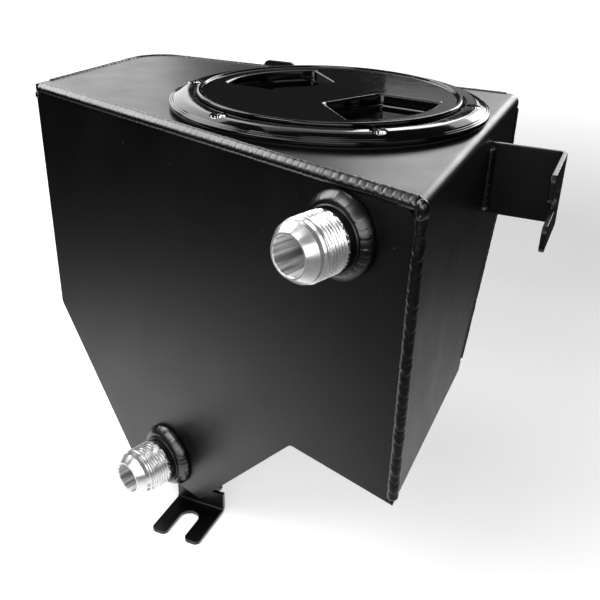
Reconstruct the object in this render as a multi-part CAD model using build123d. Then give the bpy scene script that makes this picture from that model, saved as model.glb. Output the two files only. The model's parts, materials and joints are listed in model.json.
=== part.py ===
from build123d import *
import math
import os

# A welded sheet tank that holds ice water for a car's charge cooler. It is filled through
# a round screw-out deck plate on its top and has two threaded pipe stubs on its front.
# Everything is in millimetres with +Z up. The front plate faces about -Y. The origin is on
# the underside of the bottom mounting foot, midway across it and just behind its slot.

# sheet metal
wall = 3.0                  # thickness of the tank's sheet
touch = 0.02                # hair gap that keeps neighbouring pieces apart
top_z = 285.0               # upper face of the top plate
belly_z = 111.0             # underside of the tank to the right of the sump
sump_z = 17.0               # underside of the sump
left_x = -142.0             # outer face of the left wall
right_x = 161.0             # outer face of the right wall
back_upright = 49.0         # height of the back's upright part, above its slope
slope_end_y = 96.0          # where the sloping back meets the belly
sump_back_y = 44.0          # rear edge of the sump's underside
sump_left_x = -70.0         # left end of the sump's underside
sump_right_x = 6.0          # right end of the sump's underside
slant_left_z = 120.0        # height where the left wall turns in toward the sump
step_x = 88.0               # where the belly turns down toward the sump
edge_bend = 6.0             # outside bend radius along the top's right edge
sheet_bend = 5.0            # outside bend radius of the lower folds
corner_bend = 28.0          # radius of the upright corner at the back left

# The front plate is not square to the sides: it is turned about the vertical.
front_turn = 20.0
front_x, front_y = 20.4, -9.5      # a point on the front plate's outer face

# deck plate on the top: heights are above the top plate, and each radius follows the flange's
deck_r = 101.6              # outside of the flange
deck_margin = 5.2           # from the flange's edge to the front plate's face
deck_side_margin = 2.9      # from the flange's edge to the right wall's face
deck_back_margin = 1.9      # from the flange's edge to the back wall's face
flange_w = 15.9             # width of the flange beside the cover
cover_gap = 1.5             # between the flange's inner edge and the cover
neck_step = 7.7             # from the cover's edge in to the neck's bore
neck_wall = 4.0
neck_drop = 16.0            # how far the neck reaches below the top plate's upper face
cutout_gap = 1.0            # between the neck and the hole in the top plate
gasket_t = 1.5
gasket_inset = 2.2          # from the flange's edge in to the gasket's
rim_h = 6.0                 # height of the flange's outer edge
rim_face_h = 3.8            # top of the flange's upright outer face
rim_round = 2.2             # width of the rounded outer edge
rim_chamfer = 0.6
crown_h = 8.4               # height of the flange beside the cover
shelf_h = 4.6               # the ledge that the seal presses on
cover_top = 10.5            # top of the cover's raised lip
cover_under = 6.8
lip_w, lip_fall = 2.4, 1.3  # the cover's raised lip and how far it falls inside
dish_rise = 0.4             # how much the cover rises again to its middle
skirt_gap = 0.35            # gap between the cover's skirt and the neck
skirt_t = 3.4
skirt_drop = 9.0
seal_inset, seal_wire = 3.8, 1.08
screw_count = 6
screw_start = 8.0           # angle of the first screw from +X
screw_inset = 6.3           # from the flange's inner edge out to the screws
screw_head_r, screw_shank_r, screw_drop = 4.6, 2.4, 9.0
screw_gap = 0.1             # room round the screws in the plastic
head_sunk = 1.5             # how far the heads lie below the crown
recess_len, recess_w, recess_deep = 5.2, 1.1, 1.3

# finger pockets in the cover
pocket_axis = -27.0         # direction of the first pocket from +X
pocket_near = 22.0          # from the cover's centre to the pocket's straight side
pocket_half = 24.0          # half the length of that side
pocket_flare = 21.3         # how far the two ends spread, in degrees
pocket_far_inset = 14.2     # from the cover's edge in to the pocket's round side
pocket_floor = 0.4          # floor height
pocket_wall = 2.4
pocket_corner = 3.0

# threaded stubs, measured outward from the front plate
stub_bore_r = 10.2
stub_root_r = 14.6          # the plain spigot in the plate's hole
collar_r, collar_len, collar_chamfer = 17.8, 9.0, 0.6
groove_r, groove_len = 15.2, 3.0
thread_r, thread_len = 16.67, 17.5
thread_runout = 1.2
nose_len, nose_r = 9.0, 11.6
nose_step = 0.9             # from the thread's outside in to the nose
cone_angle = 37.0
upper_across, upper_drop = 103.5, 29.0     # across the front plate, and down from the top
lower_across, lower_rise = -46.5, 23.5     # across the front plate, and up from the sump

# weld beads
bead_r, bead_in = 3.2, 1.5
corner_blob_r = 4.6         # the lump where the two front beads meet
rear_bead_r, rear_bead_in = 2.3, 1.2
rear_bead_start = 12.4      # from the front plate's face to where the rear bead starts
bead_stop = 8.0             # how far the rear beads stop short of the right and top edges
side_bead_rise = 6.0        # how far the rear side bead ends above the belly
stub_bead_ring_r, stub_bead_r, stub_bead_out = 20.3, 3.7, 1.2
side_weld_r, foot_weld_r, tab_weld_r = 3.6, 3.4, 2.6
weld_short = 2.0            # how far a bracket's bead ends short of the bracket's corners

# brackets, all bent from the same strip
strap = 3.0
strap_bend = 5.0
tip_round = 4.0
bracket_y = 105.0           # front face of the side bracket's plate
bracket_out = 46.0          # how far it stands out from the tank
bracket_drop = 12.5         # from the top plate down to the bracket's upper edge
bracket_w = 46.0
bracket_reach = 58.0        # length of its bent arm toward the front
foot_w = 38.0
foot_tip_y = -31.5
foot_tab_y = 6.5            # front face of the foot's upright tab
slot_w = 14.0
slot_depth = 27.5
side_slot_depth = 36.0
rear_tab_x, rear_tab_w = -26.0, 26.0
rear_tab_rise = 4.2         # how far the tab stands above the top plate
rear_tab_len = 50.7
rear_tab_reach = 30.0
rear_hole_r, rear_hole_out = 3.3, 18.0
tab_weld_low, tab_weld_drop = 11.0, 6.8    # above the tab's lower end, and below the top plate

# sizes that follow from these
slope_start_z = top_z - back_upright
deck_x = right_x - deck_r - deck_side_margin
well_r = deck_r - flange_w
cover_r = well_r - cover_gap
neck_bore_r = cover_r - neck_step
neck_r = neck_bore_r + neck_wall
cutout_r = neck_r + cutout_gap
seal_r = cover_r - seal_inset
screw_circle_r = well_r + screw_inset
big = 2.0 * (right_x - left_x)      # longer than the tank, for cutting tools
clear = wall + 2.0                  # how far a cutting tool runs past the faces it cuts


c, s = math.cos(math.radians(front_turn)), math.sin(math.radians(front_turn))
front = Plane(origin=(front_x, front_y, 0), x_dir=(c, -s, 0), z_dir=(-s, -c, 0))
deck_y = front_y + (deck_r + deck_margin - (deck_x - front_x) * s) / c
back_y = deck_y + deck_r + deck_back_margin


def front_point(across, height, out=0.0):
    """A point given across the front plate, by height, and outward from its face."""
    return Vector(front_x + across * c - out * s, front_y - across * s - out * c, height)


def shifted(points, inward):
    """Moves every side of a closed outline inward by a distance. Points run anticlockwise."""
    n = len(points)
    lines = []
    for i in range(n):
        (x0, y0), (x1, y1) = points[i], points[(i + 1) % n]
        length = math.hypot(x1 - x0, y1 - y0)
        nx, ny = -(y1 - y0) / length, (x1 - x0) / length
        lines.append((nx, ny, nx * x0 + ny * y0 + inward))
    out = []
    for i in range(n):
        a1, b1, d1 = lines[i - 1]
        a2, b2, d2 = lines[i]
        det = a1 * b2 - a2 * b1
        out.append(((d1 * b2 - d2 * b1) / det, (a1 * d2 - a2 * d1) / det))
    return out


def solids_of(shape, smallest=20.0):
    """Keeps the real solids of a cut or a crossing, without its slivers, as one part."""
    out = Part()
    for piece in shape.solids():
        if piece.volume > smallest:
            out = out + piece
    return out


def prism(points, place, start, length, radii=None):
    """A bar with a flat outline. place turns an outline point and a distance into XYZ."""
    face = Face(Wire.make_polygon([Vector(*place(p, start)) for p in points]))
    along = Vector(*place(points[0], start + length)) - Vector(*place(points[0], start))
    body = Part() + Solid.extrude(face, along)
    for index, radius in (radii or {}).items():
        mid = Vector(*place(points[index], start + length / 2))
        edge = min(body.edges(), key=lambda e: (e.position_at(0.5) - mid).length)
        body = fillet(edge, radius)
    return body


def box(x0, x1, y0, y1, z0, z1):
    return Pos((x0 + x1) / 2, (y0 + y1) / 2, (z0 + z1) / 2) * Box(x1 - x0, y1 - y0, z1 - z0)


def tube(r_out, r_in, z0, z1):
    ring = Cylinder(r_out, z1 - z0, align=(Align.CENTER, Align.CENTER, Align.MIN))
    if r_in:
        ring = ring - Cylinder(r_in, z1 - z0, align=(Align.CENTER, Align.CENTER, Align.MIN))
    return Pos(0, 0, z0) * ring


def turned(outline):
    """A turned solid from (radius, height) points round the Z axis."""
    face = make_face(Polyline([(r, 0, z) for r, z in outline], close=True))
    return revolve(face, Axis.Z)


def rod(start, end, radius):
    """A round bar between two points."""
    along = end - start
    bar = Cylinder(radius, along.length, align=(Align.CENTER, Align.CENTER, Align.MIN))
    return Plane(origin=start, z_dir=along) * bar


def upright_rod(x, y, z0, z1, radius):
    return rod(Vector(x, y, z0), Vector(x, y, z1), radius)


def rounded(body, direction, spot, radius):
    """Rounds the edge nearest a spot among those that run along a direction."""
    along = [e for e in body.edges() if abs(e.tangent_at(0.5).dot(Vector(*direction))) > 0.99]
    return fillet(min(along, key=lambda e: (e.position_at(0.5) - spot).length), radius)


def across_place(p, d):
    return (p[0], d, p[1])


def side_place(p, d):
    return (d, p[0], p[1])


def plan_place(p, d):
    return (p[0], p[1], d)


# The tank's outline seen along Y, along X and from above
section = [(left_x, slant_left_z), (sump_left_x, sump_z), (sump_right_x, sump_z), (step_x, belly_z),
           (right_x, belly_z), (right_x, top_z), (left_x, top_z)]
profile = [(-big, sump_z), (sump_back_y, sump_z), (slope_end_y, belly_z), (back_y, slope_start_z),
           (back_y, top_z), (-big, top_z)]
plan = [(left_x, -big), (right_x, -big), (right_x, back_y), (left_x, back_y)]


def tank_body(inset):
    """The tank's whole volume, or the hollow in it when inset is the sheet's thickness."""
    folds = {0: sheet_bend - inset, 1: sheet_bend - inset, 2: sheet_bend - inset, 3: sheet_bend + inset,
             5: edge_bend - inset}
    seen_along_y = prism(shifted(section, inset), across_place, -big, 2 * big, folds)
    seen_along_x = prism(shifted(profile, inset), side_place, -big, 2 * big)
    seen_above = prism(shifted(plan, inset), plan_place, -big, 2 * big, {3: corner_bend - inset})
    body = solids_of(solids_of(seen_along_y & seen_along_x) & seen_above)
    return solids_of(body - front_space(-inset, 2 * big))


def front_space(start, length):
    """All the space outward of the front plate, between two distances from its face."""
    block = Box(4 * big, 4 * big, length, align=(Align.CENTER, Align.CENTER, Align.MIN))
    return front * (Pos(0, 0, start) * block)


outer = tank_body(0.0)
hollow = tank_body(wall)
front_slab = solids_of(outer & front_space(-wall, wall))
walls = solids_of(solids_of(outer - hollow) - front_slab)

# Top and right side are one sheet, bent along the top's right edge.
top_region = box(-big, big, -big, big, top_z - wall, top_z + clear)
top_region = top_region + box(right_x - wall, big, -big, big, 0, top_z + clear)
top_region = top_region + box(right_x - edge_bend, big, -big, big, top_z - edge_bend, top_z + clear)
top_side_sheet = solids_of(walls & top_region)
rest = solids_of(walls - top_region)

# The sloping back is one sheet folded where it meets the belly.
inner_profile = shifted(profile, wall)
slope_outline = profile[1:4] + [inner_profile[3], inner_profile[2], inner_profile[1]]
slope_band = prism(slope_outline, side_place, -big, 2 * big)
sloping_back = solids_of(rest & slope_band)
rest = solids_of(rest - slope_band)

# Below the left wall's fold everything is the belly sheet. Above it are the left wall
# and the back, rolled round the upright corner in one piece.
fold_z = slant_left_z + sheet_bend + 1.0
low_region = box(-big, big, -big, big, 0, fold_z)
belly_sheet = solids_of(rest & low_region)
left_back_sheet = solids_of(rest - low_region)

# Front beads: along the top edge, a blob on the corner, and down the right edge
right_across = (right_x - front_x) / c
left_across = (left_x - front_x) / c
corner_in = edge_bend * 0.55        # how far the bent edge pulls the corner in
top_bead_z = top_z - bead_in
top_start = front_point(left_across + bead_in, top_bead_z, -bead_in)
top_end = front_point(right_across - corner_in, top_bead_z, -bead_in)
right_start = front_point(right_across - bead_in, top_z - corner_in, -bead_in)
right_end = front_point(right_across - bead_in, belly_z + bead_in, -bead_in)
blob_spot = front_point(right_across - corner_in, top_z - corner_in, -bead_in)
front_rods = rod(top_start, top_end, bead_r) + rod(right_start, right_end, bead_r)
front_rods = front_rods + Pos(*blob_spot) * Sphere(corner_blob_r)

# Rear beads: along the top of the left wall, round the upright corner and along the back
rear_z = top_z - rear_bead_in
turn_r = corner_bend - rear_bead_in
turn_x, turn_y = left_x + corner_bend, back_y - corner_bend
left_start = Vector(left_x + rear_bead_in, front_point(left_across, 0).Y + rear_bead_start, rear_z)
left_end = Vector(left_x + rear_bead_in, turn_y, rear_z)
back_start = Vector(turn_x, back_y - rear_bead_in, rear_z)
back_end = Vector(right_x - bead_stop, back_y - rear_bead_in, rear_z)
turn_face = make_face(Plane.XZ * (Pos(turn_r, 0) * RegularPolygon(rear_bead_r, 12)))
turn_rod = Pos(turn_x, turn_y, rear_z) * Rot(0, 0, 90) * revolve(turn_face, Axis.Z, 90)
rear_rods = rod(left_start, left_end, rear_bead_r) + rod(back_start, back_end, rear_bead_r) + turn_rod

# Rear right: down the upright edge and along the slope
side_x = right_x - rear_bead_in
lean = (back_y - slope_end_y) / (slope_start_z - belly_z)
side_top = Vector(side_x, back_y - rear_bead_in, top_z - bead_stop)
side_knee = Vector(side_x, back_y - rear_bead_in, slope_start_z)
side_low = Vector(side_x, slope_end_y + side_bead_rise * lean - rear_bead_in, belly_z + side_bead_rise)
side_rods = rod(side_top, side_knee, rear_bead_r) + rod(side_knee, side_low, rear_bead_r)
front_bead, rear_top_bead, rear_side_bead = [solids_of(rods - hollow) for rods in (front_rods, rear_rods, side_rods)]

# Threaded stubs: a spigot in the plate's hole, a collar, a relief groove, the thread's
# full outside and a coned nose. The thread itself is plain here.
thread_start = collar_len + groove_len
thread_end = thread_start + thread_len
stub_end = thread_end + nose_len
step_r = thread_r - nose_step
cone_len = (step_r - nose_r) / math.tan(math.radians(cone_angle))
stub = turned([(stub_bore_r, -wall), (stub_root_r, -wall), (stub_root_r, 0), (collar_r, 0),
               (collar_r, collar_len - collar_chamfer), (collar_r - collar_chamfer, collar_len),
               (groove_r, collar_len), (groove_r, thread_start), (thread_r, thread_start + thread_runout),
               (thread_r, thread_end), (step_r, thread_end + nose_step), (step_r, stub_end - cone_len),
               (nose_r, stub_end), (stub_bore_r, stub_end)])
stub_bead = Pos(0, 0, stub_bead_out) * Torus(stub_bead_ring_r, stub_bead_r)
stub_bead = stub_bead - tube(collar_r + touch, 0, -big, big) - tube(big, 0, -big, touch)
stub_hole = tube(stub_root_r + touch, 0, -clear, clear)


def on_front(shape, across, height):
    """Moves a shape made round Z onto the front plate."""
    return Plane(origin=front_point(across, height), x_dir=front.x_dir, z_dir=front.z_dir) * shape


upper = (upper_across, top_z - upper_drop)
lower = (lower_across, sump_z + lower_rise)
upper_bung, lower_bung = on_front(stub, *upper), on_front(stub, *lower)
upper_bung_weld, lower_bung_weld = on_front(stub_bead, *upper), on_front(stub_bead, *lower)
front_plate = front_slab - on_front(stub_hole, *upper) - on_front(stub_hole, *lower) - front_rods

# Deck plate: gasket, flange with neck, cover with two finger pockets, its seal, screws
deck = Pos(deck_x, deck_y, top_z)


def at_screws(shape):
    """Copies of a shape on the screw circle."""
    spots = [Rot(0, 0, screw_start + 360.0 / screw_count * i) * Pos(screw_circle_r, 0, 0)
             for i in range(screw_count)]
    return Compound(children=[spot * shape for spot in spots])


head_top = crown_h - head_sunk
head_h = screw_head_r - screw_shank_r
head_mid = head_top - head_h / 2
flange = turned([(neck_bore_r, -neck_drop), (neck_r, -neck_drop), (neck_r, gasket_t),
                 (deck_r - rim_chamfer, gasket_t), (deck_r, gasket_t + rim_chamfer), (deck_r, rim_face_h),
                 (deck_r - rim_round / 3, rim_h - rim_round / 3), (deck_r - rim_round, rim_h),
                 (well_r + flange_w / 3, crown_h - rim_chamfer / 2), (well_r + rim_chamfer, crown_h),
                 (well_r, crown_h - rim_chamfer), (well_r, shelf_h), (neck_bore_r, shelf_h)])
hole = tube(screw_shank_r + screw_gap, 0, -big, crown_h + clear)
sink = Pos(0, 0, head_mid) * Cone(screw_shank_r + screw_gap, screw_head_r + screw_gap, head_h)
sink = sink + tube(screw_head_r + screw_gap, 0, head_top, crown_h + clear)
deck_ring = deck * (flange - at_screws(hole) - at_screws(sink))
deck_gasket = deck * (tube(deck_r - gasket_inset, neck_r + rim_chamfer, 0, gasket_t) - at_screws(hole))
screw = Pos(0, 0, head_mid) * Cone(screw_shank_r, screw_head_r, head_h)
screw = screw + tube(screw_shank_r, 0, -screw_drop, head_mid)
for long_way, short_way in ((recess_len, recess_w), (recess_w, recess_len)):
    screw = screw - Pos(0, 0, head_top) * Box(long_way, short_way, 2 * recess_deep)
ring_screws = deck * at_screws(screw)

skirt_r = neck_bore_r - skirt_gap
lip_chamfer = lip_w / 3
cover_body = turned([(0, cover_under), (cover_r - rim_chamfer, cover_under), (cover_r, cover_under + rim_chamfer),
                     (cover_r, cover_top - lip_chamfer), (cover_r - lip_chamfer, cover_top),
                     (cover_r - lip_w, cover_top), (cover_r - lip_w - lip_fall, cover_top - lip_fall),
                     (0, cover_top - lip_fall + dish_rise)])
cover_body = cover_body + tube(skirt_r, skirt_r - skirt_t, -skirt_drop, cover_under + touch)


def pocket_shape(grow, z0, z1):
    """One finger pocket's fan-shaped outline, widened by grow, between two heights."""
    near, half = pocket_near - grow, pocket_half + grow
    far_half = half + (cover_r - near) * math.tan(math.radians(pocket_flare))
    outline = Polygon((near, -half), (cover_r, -far_half), (cover_r, far_half), (near, half), align=None)
    shape = solids_of(extrude(outline, z1 - z0) & tube(cover_r - pocket_far_inset + grow, 0, 0, z1 - z0))
    upright = [e for e in shape.edges() if abs(e.tangent_at(0.5).Z) > 0.99]
    return Pos(0, 0, z0) * fillet(upright, pocket_corner + grow)


pocket_turns = [Rot(0, 0, pocket_axis), Rot(0, 0, pocket_axis + 180.0)]
for turn in pocket_turns:
    cover_body = cover_body + turn * pocket_shape(pocket_wall, pocket_floor - pocket_wall, cover_under + touch)
for turn in pocket_turns:
    cover_body = cover_body - turn * pocket_shape(0, pocket_floor, cover_top + clear)
cover = deck * cover_body
cover_seal = deck * (Pos(0, 0, (shelf_h + cover_under) / 2) * Torus(seal_r, seal_wire))

deck_hole = deck * tube(cutout_r, 0, -big, big)
tapped = deck * at_screws(tube(screw_shank_r + touch, 0, -big, big))
top_side_sheet = solids_of(top_side_sheet - deck_hole - tapped - front_rods - rear_rods - side_rods)
left_back_sheet = left_back_sheet - front_rods - rear_rods - side_rods
sloping_back = sloping_back - side_rods
belly_sheet = belly_sheet - front_rods


def open_slot(width, depth):
    """An open-ended slot along -Y with a round root at y = 0, for cutting strips."""
    r = width / 2
    thick = 2 * (strap + clear)
    return Pos(0, -r, 0) * Cylinder(r, thick) + Pos(0, -r - depth, 0) * Box(width, 2 * depth, thick)


def rounded_tip(body, direction, tip_y):
    """Rounds a strip's two end corners, which run along a direction through its thickness."""
    ends = [e for e in body.edges() if abs(e.tangent_at(0.5).dot(Vector(*direction))) > 0.99
            and abs(e.position_at(0.5).Y - tip_y) < touch]
    return fillet(ends, tip_round)


# Side bracket: a plate out from the right wall, its end bent forward and slotted
bend_in = strap_bend - strap
bracket_high = top_z - bracket_drop
bracket_low = bracket_high - bracket_w
mid_z = (bracket_low + bracket_high) / 2
arm_x = right_x + bracket_out
arm_front = bracket_y + strap - bracket_reach
side_bracket = box(right_x + touch, arm_x, bracket_y, bracket_y + strap, bracket_low, bracket_high)
side_bracket = side_bracket + box(arm_x - strap, arm_x, arm_front, bracket_y + strap, bracket_low, bracket_high)
side_bracket = rounded(side_bracket, (0, 0, 1), Vector(arm_x, bracket_y + strap, mid_z), strap_bend)
side_bracket = rounded(side_bracket, (0, 0, 1), Vector(arm_x - strap, bracket_y, mid_z), bend_in)
side_slot = Rot(0, 90, 0) * open_slot(slot_w, side_slot_depth)
side_bracket = side_bracket - Pos(arm_x, arm_front + side_slot_depth, mid_z) * side_slot
side_bracket = rounded_tip(side_bracket, (1, 0, 0), arm_front)
side_ends = (bracket_low + weld_short / 2, bracket_high - weld_short / 2)
side_bracket_weld = upright_rod(right_x, bracket_y, *side_ends, side_weld_r)
side_bracket_weld = side_bracket_weld + upright_rod(right_x, bracket_y + strap, *side_ends, side_weld_r)
side_bracket_weld = side_bracket_weld - outer - box(
    left_x, arm_x, bracket_y - touch, bracket_y + strap + touch, bracket_low, bracket_high)

# Foot: a tab down from the sump, bent forward and slotted
foot_back_y = foot_tab_y + strap
foot_bracket = box(-foot_w / 2, foot_w / 2, foot_tab_y, foot_back_y, 0, sump_z - touch)
foot_bracket = foot_bracket + box(-foot_w / 2, foot_w / 2, foot_tip_y, foot_back_y, 0, strap)
foot_bracket = rounded(foot_bracket, (1, 0, 0), Vector(0, foot_back_y, 0), strap_bend)
foot_bracket = rounded(foot_bracket, (1, 0, 0), Vector(0, foot_tab_y, strap), bend_in)
foot_bracket = foot_bracket - Pos(0, foot_tip_y + slot_depth, strap / 2) * open_slot(slot_w, slot_depth)
foot_bracket = rounded_tip(foot_bracket, (0, 0, 1), foot_tip_y)
weld_end = foot_w / 2 - weld_short
foot_weld = rod(Vector(-weld_end, foot_back_y, sump_z), Vector(weld_end, foot_back_y, sump_z), foot_weld_r)
foot_weld = foot_weld - outer - box(-foot_w, foot_w, foot_tip_y, foot_back_y + touch, 0, top_z)

# Rear tab: a strip against the back wall, turned out at its lower end with a bolt hole
tab_y = back_y + touch
tab_left, tab_right = rear_tab_x - rear_tab_w / 2, rear_tab_x + rear_tab_w / 2
tab_high = top_z + rear_tab_rise
tab_low = tab_high - rear_tab_len
rear_tab = box(tab_left, tab_right, tab_y, tab_y + strap, tab_low, tab_high)
rear_tab = rear_tab + box(tab_left, tab_right, tab_y, tab_y + rear_tab_reach, tab_low, tab_low + strap)
rear_tab = rounded(rear_tab, (1, 0, 0), Vector(rear_tab_x, tab_y, tab_low), strap_bend)
rear_tab = rounded(rear_tab, (1, 0, 0), Vector(rear_tab_x, tab_y + strap, tab_low + strap), bend_in)
rear_tab = rounded_tip(rear_tab, (0, 0, 1), tab_y + rear_tab_reach)
for corner_x in (tab_left, tab_right):
    rear_tab = rounded(rear_tab, (0, 1, 0), Vector(corner_x, tab_y + strap / 2, tab_high), tip_round)
rear_tab = rear_tab - Pos(rear_tab_x, tab_y + rear_hole_out, tab_low) * Cylinder(rear_hole_r, 2 * clear)
rear_tab = rear_tab - rear_rods
tab_ends = (tab_low + tab_weld_low, top_z - tab_weld_drop)
rear_tab_weld = upright_rod(tab_left, back_y, *tab_ends, tab_weld_r)
rear_tab_weld = rear_tab_weld + upright_rod(tab_right, back_y, *tab_ends, tab_weld_r)
rear_tab_weld = rear_tab_weld - outer - box(
    tab_left - touch, tab_right + touch, left_x, back_y + clear, tab_low, tab_high)

parts = {
    "front_plate": front_plate,
    "top_side_sheet": top_side_sheet,
    "left_back_sheet": left_back_sheet,
    "sloping_back": sloping_back,
    "belly_sheet": belly_sheet,
    "front_seam_bead": front_bead,
    "rear_top_bead": rear_top_bead,
    "rear_side_bead": rear_side_bead,
    "upper_bung": upper_bung,
    "lower_bung": lower_bung,
    "upper_bung_weld": upper_bung_weld,
    "lower_bung_weld": lower_bung_weld,
    "side_bracket": side_bracket,
    "side_bracket_weld": side_bracket_weld,
    "foot_bracket": foot_bracket,
    "foot_weld": foot_weld,
    "rear_tab": rear_tab,
    "rear_tab_weld": rear_tab_weld,
    "deck_gasket": deck_gasket,
    "deck_ring": deck_ring,
    "ring_screws": ring_screws,
    "cover": cover,
    "cover_seal": cover_seal,
}

os.makedirs("parts", exist_ok=True)
for name, shape in parts.items():
    solids = shape.solids()
    export_step(solids[0] if len(solids) == 1 else Compound(children=solids), os.path.join("parts", name + ".step"))
    print(name, len(solids), round(sum(solid.volume for solid in solids) / 1000, 2), "cm3")
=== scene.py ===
import bpy
import json
import math
import random
from mathutils import Matrix, Vector, noise


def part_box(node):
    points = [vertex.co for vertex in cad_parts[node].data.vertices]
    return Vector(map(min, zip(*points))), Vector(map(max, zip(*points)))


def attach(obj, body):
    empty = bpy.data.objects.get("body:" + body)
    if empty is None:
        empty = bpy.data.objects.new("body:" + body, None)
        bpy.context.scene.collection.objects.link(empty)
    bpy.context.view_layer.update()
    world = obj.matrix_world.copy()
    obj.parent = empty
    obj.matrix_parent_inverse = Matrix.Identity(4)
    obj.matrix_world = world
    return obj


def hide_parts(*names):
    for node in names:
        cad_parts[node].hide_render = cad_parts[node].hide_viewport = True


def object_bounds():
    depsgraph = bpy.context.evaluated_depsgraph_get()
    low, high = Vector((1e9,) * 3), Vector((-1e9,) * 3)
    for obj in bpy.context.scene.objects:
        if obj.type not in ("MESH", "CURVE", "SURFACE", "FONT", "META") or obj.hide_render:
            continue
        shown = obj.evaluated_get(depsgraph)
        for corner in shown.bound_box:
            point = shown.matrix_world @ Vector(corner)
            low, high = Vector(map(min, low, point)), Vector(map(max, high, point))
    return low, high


# Looks of the ice tank: satin black sheet, rows of weld, turned aluminium stubs and a
# glossy black deck plate. Lengths are in metres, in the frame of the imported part. Tables of
# outline points are in millimetres where their comment says so.
mm = 0.001

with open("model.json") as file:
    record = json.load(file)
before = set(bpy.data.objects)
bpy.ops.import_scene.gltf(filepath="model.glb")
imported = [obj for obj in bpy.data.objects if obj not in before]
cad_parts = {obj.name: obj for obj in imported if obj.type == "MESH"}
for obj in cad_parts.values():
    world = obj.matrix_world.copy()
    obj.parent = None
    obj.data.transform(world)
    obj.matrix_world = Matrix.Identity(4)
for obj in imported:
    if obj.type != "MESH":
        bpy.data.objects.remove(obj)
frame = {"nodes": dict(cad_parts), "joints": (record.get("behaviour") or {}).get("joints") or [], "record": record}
cad_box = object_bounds()
mounts = {mount["name"]: mount for mount in frame["record"]["mounts"]}

# Places read from the frame
high_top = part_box("top_side_sheet")[1]
low_left, high_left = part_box("left_back_sheet")
top_z, right_x = high_top.z, high_top.x
left_x, back_y = low_left.x, high_left.y
wall = 3.0 * mm
upward = Vector((0, 0, 1))
out_front = Vector(mounts["upper_bore"]["axis"]).normalized()
along_front = Vector((-out_front.y, out_front.x, 0.0))
deck_centre = Vector(next(joint["pos_m"] for joint in frame["joints"] if joint["name"] == "cover_turn"))
deck_centre.z = top_z

# Rounded edges of the sheets and brackets
sheet_edge, strap_edge, gasket_edge = 0.35 * mm, 0.5 * mm, 0.15 * mm

# Weld rows: the radius of a bead, and how far its middle lies inside the tank's faces
bead_r, bead_in = 3.2 * mm, 1.5 * mm
rear_bead_r, rear_bead_in = 2.3 * mm, 1.2 * mm
corner_bend = 28.0 * mm
coin_pitch = 5.2 * mm            # length of one ripple of a weld row
coin_step = 0.08                 # usual height of its edge, as a share of the bead's radius
corner_crater_r, tail_crater_r = 4.6 * mm, 2.2 * mm

# Weld rings round the stubs
stub_bead_ring_r, stub_bead_r = 20.0 * mm, 4.2 * mm
stub_bead_out = 3.4 * mm         # from the front plate's face to the bead's middle
stub_bead_tight = 2.2 * mm       # how much closer the bead lies on its right side
stub_coin_pitch = 4.6 * mm

# Stubs, measured outward from the front plate
bore_r, root_r = 10.2 * mm, 14.6 * mm
collar_r, collar_len = 17.8 * mm, 9.0 * mm
groove_r, groove_len = 15.2 * mm, 3.0 * mm
thread_r, thread_len = 16.67 * mm, 17.5 * mm
thread_pitch, thread_depth = 2.12 * mm, 0.95 * mm
thread_flat = 0.12               # flat at the thread's root and crest, as a share of half a turn
nose_r, nose_step, stub_end = 11.6 * mm, 1.0 * mm, 38.5 * mm
cone_angle = math.radians(37.0)

# Deck plate, heights above the tank's top
neck_bore_r = 76.5 * mm
screw_count, screw_start = 6, 8.0         # the first screw's angle from +X, in degrees
screw_circle_r, screw_head_r = 92.0 * mm, 4.6 * mm
screw_hole_r, screw_head_top = 2.5 * mm, 7.2 * mm
off_axis = 0.0001 * mm           # where a turned outline starts, so that no points meet on the axis

# Cover with its finger pockets
cover_r = 84.2 * mm
skirt_gap = 0.35                 # mm between the skirt and the neck's bore
pocket_axis = math.radians(-27.0)
pocket_near, pocket_half, pocket_far_r = 22.0 * mm, 24.0 * mm, 70.0 * mm
pocket_flare = math.radians(21.3)
pocket_corner, pocket_corner_least = 3.0 * mm, 0.3 * mm
pocket_lip = 2.0                 # mm from a pocket's wall out to where its lip starts to fall

# A Mix node's inputs for its two colours and its two plain values, and its colour output
tone_a, tone_b = 6, 7
value_a, value_b = 2, 3
mixed = 2


def colour(text):
    """Linear RGBA from an sRGB hex colour."""
    def linear(v):
        return v / 12.92 if v <= 0.04045 else ((v + 0.055) / 1.055) ** 2.4
    return tuple(linear(int(text[i:i + 2], 16) / 255) for i in (1, 3, 5)) + (1.0,)


def add(tree, kind, inputs=None, **settings):
    """Adds a node. An input takes a value, or an output socket to link from."""
    made = tree.nodes.new(kind)
    for key, value in settings.items():
        setattr(made, key, value)
    for key, value in (inputs or {}).items():
        if isinstance(value, bpy.types.NodeSocket):
            tree.links.new(value, made.inputs[key])
        else:
            made.inputs[key].default_value = value
    return made


def new_material(name):
    """An empty material, with its node tree and the place on the object that its patterns follow."""
    made = bpy.data.materials.new(name)
    made.use_nodes = True
    tree = made.node_tree
    tree.nodes.clear()
    return made, tree, add(tree, "ShaderNodeTexCoord").outputs["Object"]


def finish_material(tree, shader):
    add(tree, "ShaderNodeOutputMaterial", {"Surface": shader.outputs[0]})


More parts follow.
